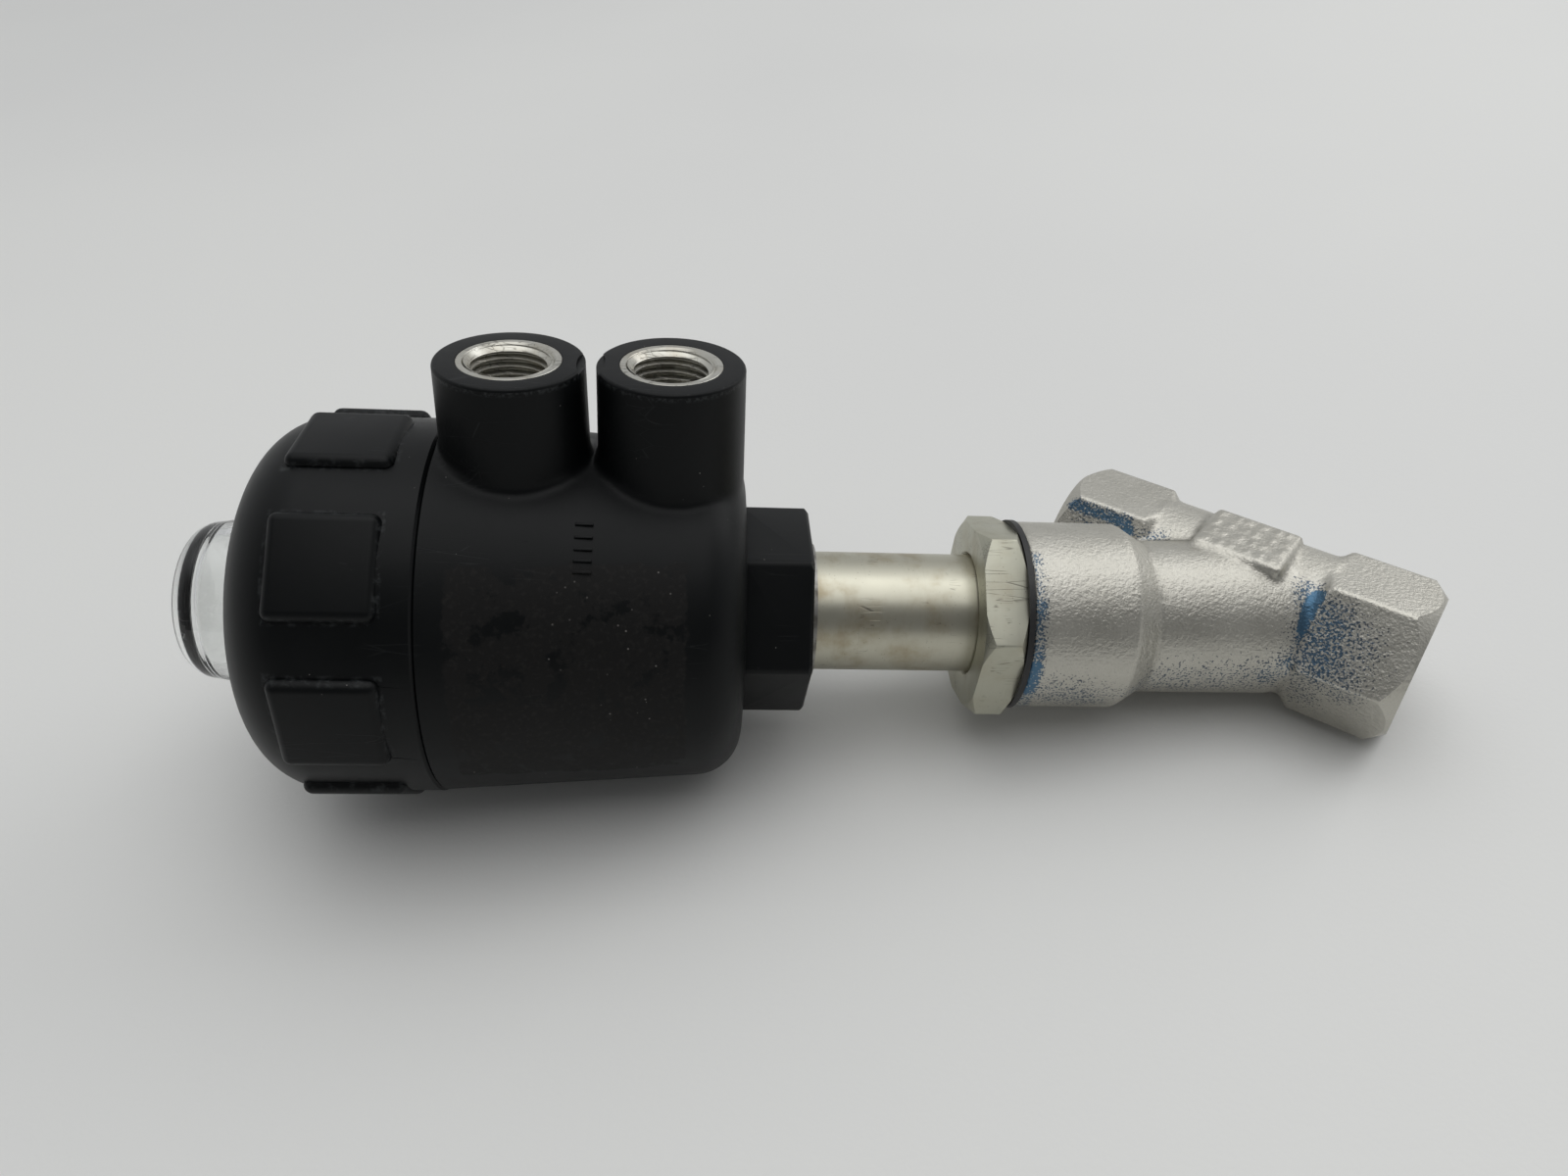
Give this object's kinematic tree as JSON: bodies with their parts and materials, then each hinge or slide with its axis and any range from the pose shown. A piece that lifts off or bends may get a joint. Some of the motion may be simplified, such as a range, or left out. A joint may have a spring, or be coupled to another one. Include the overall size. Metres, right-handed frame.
{
  "type": "air-operated angle seat valve",
  "caption": "Spring-return piston actuator with grip cover and clear indicator dome on a threaded cast Y-body, joined by a spacer tube; a sliding spindle lifts a soft-sealed plug.",
  "frame": {"origin": "centre of the outlet port's face, on the flow axis", "axes": "+X along the stem from the actuator towards the body; +Z out of the pilot ports, square to the plane of stem and flow axes; +Y completes the frame, towards the inlet side"},
  "size_m": [0.2215, 0.0717, 0.0792],
  "materials": {
    "cast_stainless": "blasted investment casting, fine grain",
    "turned_stainless": "satin turned stainless, faint heat tint",
    "nickel_plated_brass": "nickel plated, threaded",
    "spring_steel": "plain spring steel",
    "zinc_plated_steel": "zinc plated",
    "black_nylon": "moulded glass-filled nylon, matte",
    "fluoropolymer": "white fluoropolymer",
    "black_rubber": "smooth rubber",
    "clear_polycarbonate": "clear, polished",
    "white_plastic": "moulded, white"
  },
  "bodies": {
    "body": {"valve_body": "cast_stainless", "body_gasket": "black_rubber", "bonnet_nipple": "turned_stainless", "spacer_tube": "turned_stainless", "snap_ring": "spring_steel", "tube_collar": "turned_stainless", "spindle_air_seal": "black_rubber", "upper_guide_bush": "fluoropolymer", "upper_support_ring": "fluoropolymer", "packing_ring_1": "fluoropolymer", "packing_ring_2": "fluoropolymer", "packing_ring_3": "fluoropolymer", "lower_support_ring": "fluoropolymer", "packing_spring": "spring_steel", "lower_guide_bush": "fluoropolymer", "packing_circlip": "spring_steel"},
    "actuator": {"actuator_housing": "black_nylon", "housing_o_ring": "black_rubber", "spring_side_port_insert": "nickel_plated_brass", "air_side_port_insert": "nickel_plated_brass", "actuator_cover": "black_nylon", "cover_o_ring": "black_rubber", "indicator_dome": "clear_polycarbonate", "dome_o_ring": "black_rubber", "outer_spring": "spring_steel", "inner_spring": "spring_steel"},
    "stem": {"spindle": "turned_stainless", "piston": "black_nylon", "piston_lip_seal": "black_rubber", "piston_guide_ring": "fluoropolymer", "piston_o_ring": "black_rubber", "piston_washer": "zinc_plated_steel", "piston_nut": "zinc_plated_steel", "indicator_pin": "white_plastic", "plug": "turned_stainless", "plug_seal": "fluoropolymer", "seal_retainer": "turned_stainless", "plug_pin": "turned_stainless"}
  },
  "joints": [
    {"name": "actuator_turn", "type": "hinge", "parent": "body", "child": "actuator", "pos_m": [-0.01724, 0.01446, 0], "axis": [1, 0, 0], "continuous": true},
    {"name": "spindle_stroke", "type": "slide", "parent": "body", "child": "stem", "axis": [-1, 0, 0], "range_m": [0, 0.009], "stiffness_N_per_m": 5700, "springref_m": -0.012, "deforming": ["outer_spring", "inner_spring"]}
  ]
}
